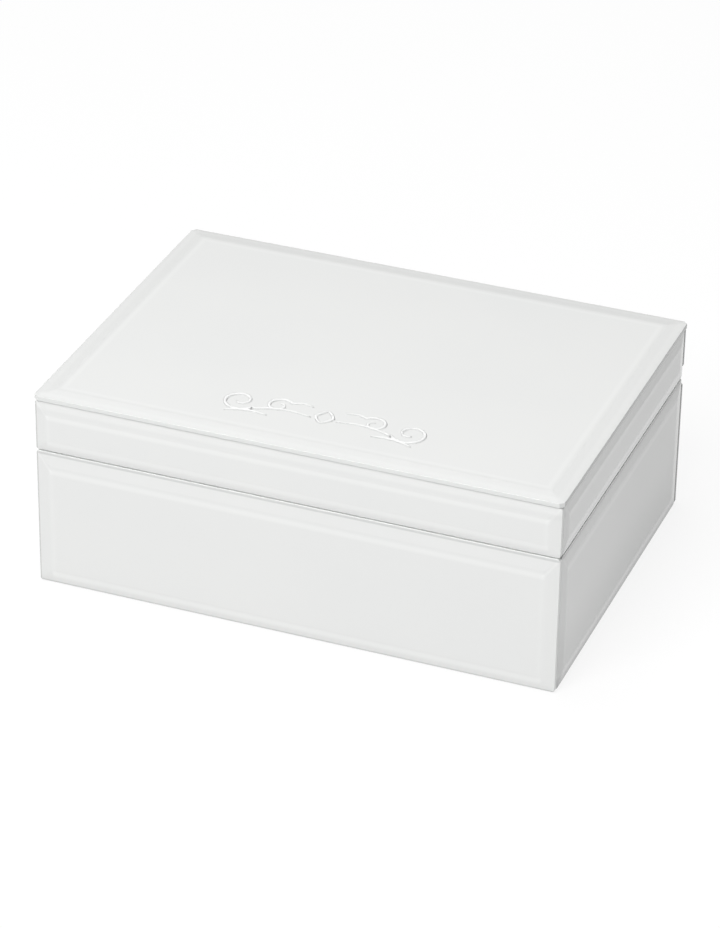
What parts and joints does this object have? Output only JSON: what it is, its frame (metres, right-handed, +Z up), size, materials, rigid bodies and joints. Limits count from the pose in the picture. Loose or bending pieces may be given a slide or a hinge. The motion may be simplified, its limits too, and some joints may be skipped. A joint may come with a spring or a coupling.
{
  "type": "jewellery box",
  "caption": "Rectangular jewellery box clad in bevelled white back-painted glass, with a hinged lid, a lined lift-out tray and a lower compartment.",
  "frame": {"origin": "middle of the underside, on the surface the box stands on", "axes": "+X to the right along the long side, the front faces -Y and the hinges are at +Y, +Z up"},
  "size_m": [0.254, 0.183, 0.099],
  "materials": {
    "painted_glass": "clear bevelled glass back-painted white, polished",
    "painted_board": "white satin paint on fibreboard",
    "suede": "short-nap suede cloth, off-white",
    "felt": "pressed felt, matt",
    "ribbon": "woven satin ribbon",
    "mirror": "bevelled silvered glass",
    "nickel": "nickel-plated steel"
  },
  "bodies": {
    "base": {"base_felt": "felt", "base_bottom_board": "painted_board", "base_front_board": "painted_board", "base_back_board": "painted_board", "base_left_board": "painted_board", "base_right_board": "painted_board", "base_front_glass": "painted_glass", "base_right_glass": "painted_glass", "base_back_glass": "painted_glass", "base_left_glass": "painted_glass", "base_front_lining": "suede", "base_back_lining": "suede", "base_left_lining": "suede", "base_right_lining": "suede", "base_floor_pad": "suede", "base_divider": "suede", "hinge_left_base_leaf": "nickel", "hinge_left_pin": "nickel", "hinge_left_base_screw_1": "nickel", "hinge_left_base_screw_2": "nickel", "hinge_right_base_leaf": "nickel", "hinge_right_pin": "nickel", "hinge_right_base_screw_1": "nickel", "hinge_right_base_screw_2": "nickel"},
    "lid": {"lid_front_board": "painted_board", "lid_back_board": "painted_board", "lid_left_board": "painted_board", "lid_right_board": "painted_board", "lid_top_board": "painted_board", "lid_front_glass": "painted_glass", "lid_right_glass": "painted_glass", "lid_back_glass": "painted_glass", "lid_left_glass": "painted_glass", "lid_top_glass": "painted_glass", "lid_front_lining": "suede", "lid_back_lining": "suede", "lid_left_lining": "suede", "lid_right_lining": "suede", "lid_lining_pad": "suede", "lid_mirror": "mirror", "hinge_left_lid_leaf": "nickel", "hinge_left_lid_screw_1": "nickel", "hinge_left_lid_screw_2": "nickel", "hinge_right_lid_leaf": "nickel", "hinge_right_lid_screw_1": "nickel", "hinge_right_lid_screw_2": "nickel"},
    "tray": {"tray_floor": "suede", "tray_front_wall": "suede", "tray_back_wall": "suede", "tray_left_wall": "suede", "tray_right_wall": "suede", "tray_ring_divider": "suede", "tray_long_divider": "suede", "tray_cross_divider": "suede", "tray_ring_roll_1": "suede", "tray_ring_roll_2": "suede", "tray_ring_roll_3": "suede", "tray_ring_roll_4": "suede", "tray_left_tab": "ribbon", "tray_right_tab": "ribbon"}
  },
  "joints": [
    {"name": "lid_hinge", "type": "hinge", "parent": "base", "child": "lid", "pos_m": [0, 0.0893, 0.07], "axis": [-1, 0, 0], "range_deg": [0, 100]},
    {"name": "tray_lift", "type": "slide", "parent": "base", "child": "tray", "axis": [0, 0, 1], "range_m": [0, 0.016]}
  ]
}
